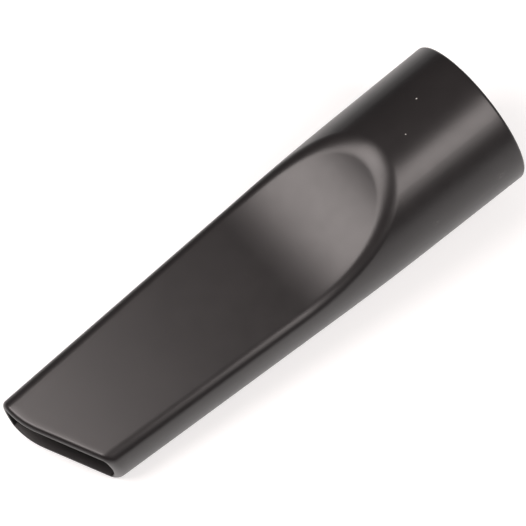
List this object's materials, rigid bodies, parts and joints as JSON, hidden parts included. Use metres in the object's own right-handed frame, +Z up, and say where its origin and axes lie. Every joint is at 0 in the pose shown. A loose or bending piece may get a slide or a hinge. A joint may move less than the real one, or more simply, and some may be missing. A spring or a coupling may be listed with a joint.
{
  "type": "vacuum crevice tool",
  "caption": "Hollow flat nozzle moulded in one piece: a round push-fit socket, long scoops above and below, and a thin wide mouth cut on the slant.",
  "frame": {"origin": "on the floor, under the middle of the bounding box", "axes": "+Z up; +X from the socket towards the mouth, with the tool's axis leaning down by the pitch at which it lies; +Y to the tool's short side"},
  "size_m": [0.1322, 0.039, 0.0419],
  "materials": {
    "body": "fine satin grain, black"
  },
  "bodies": {
    "root": {"crevice_tool": "body"}
  },
  "joints": []
}
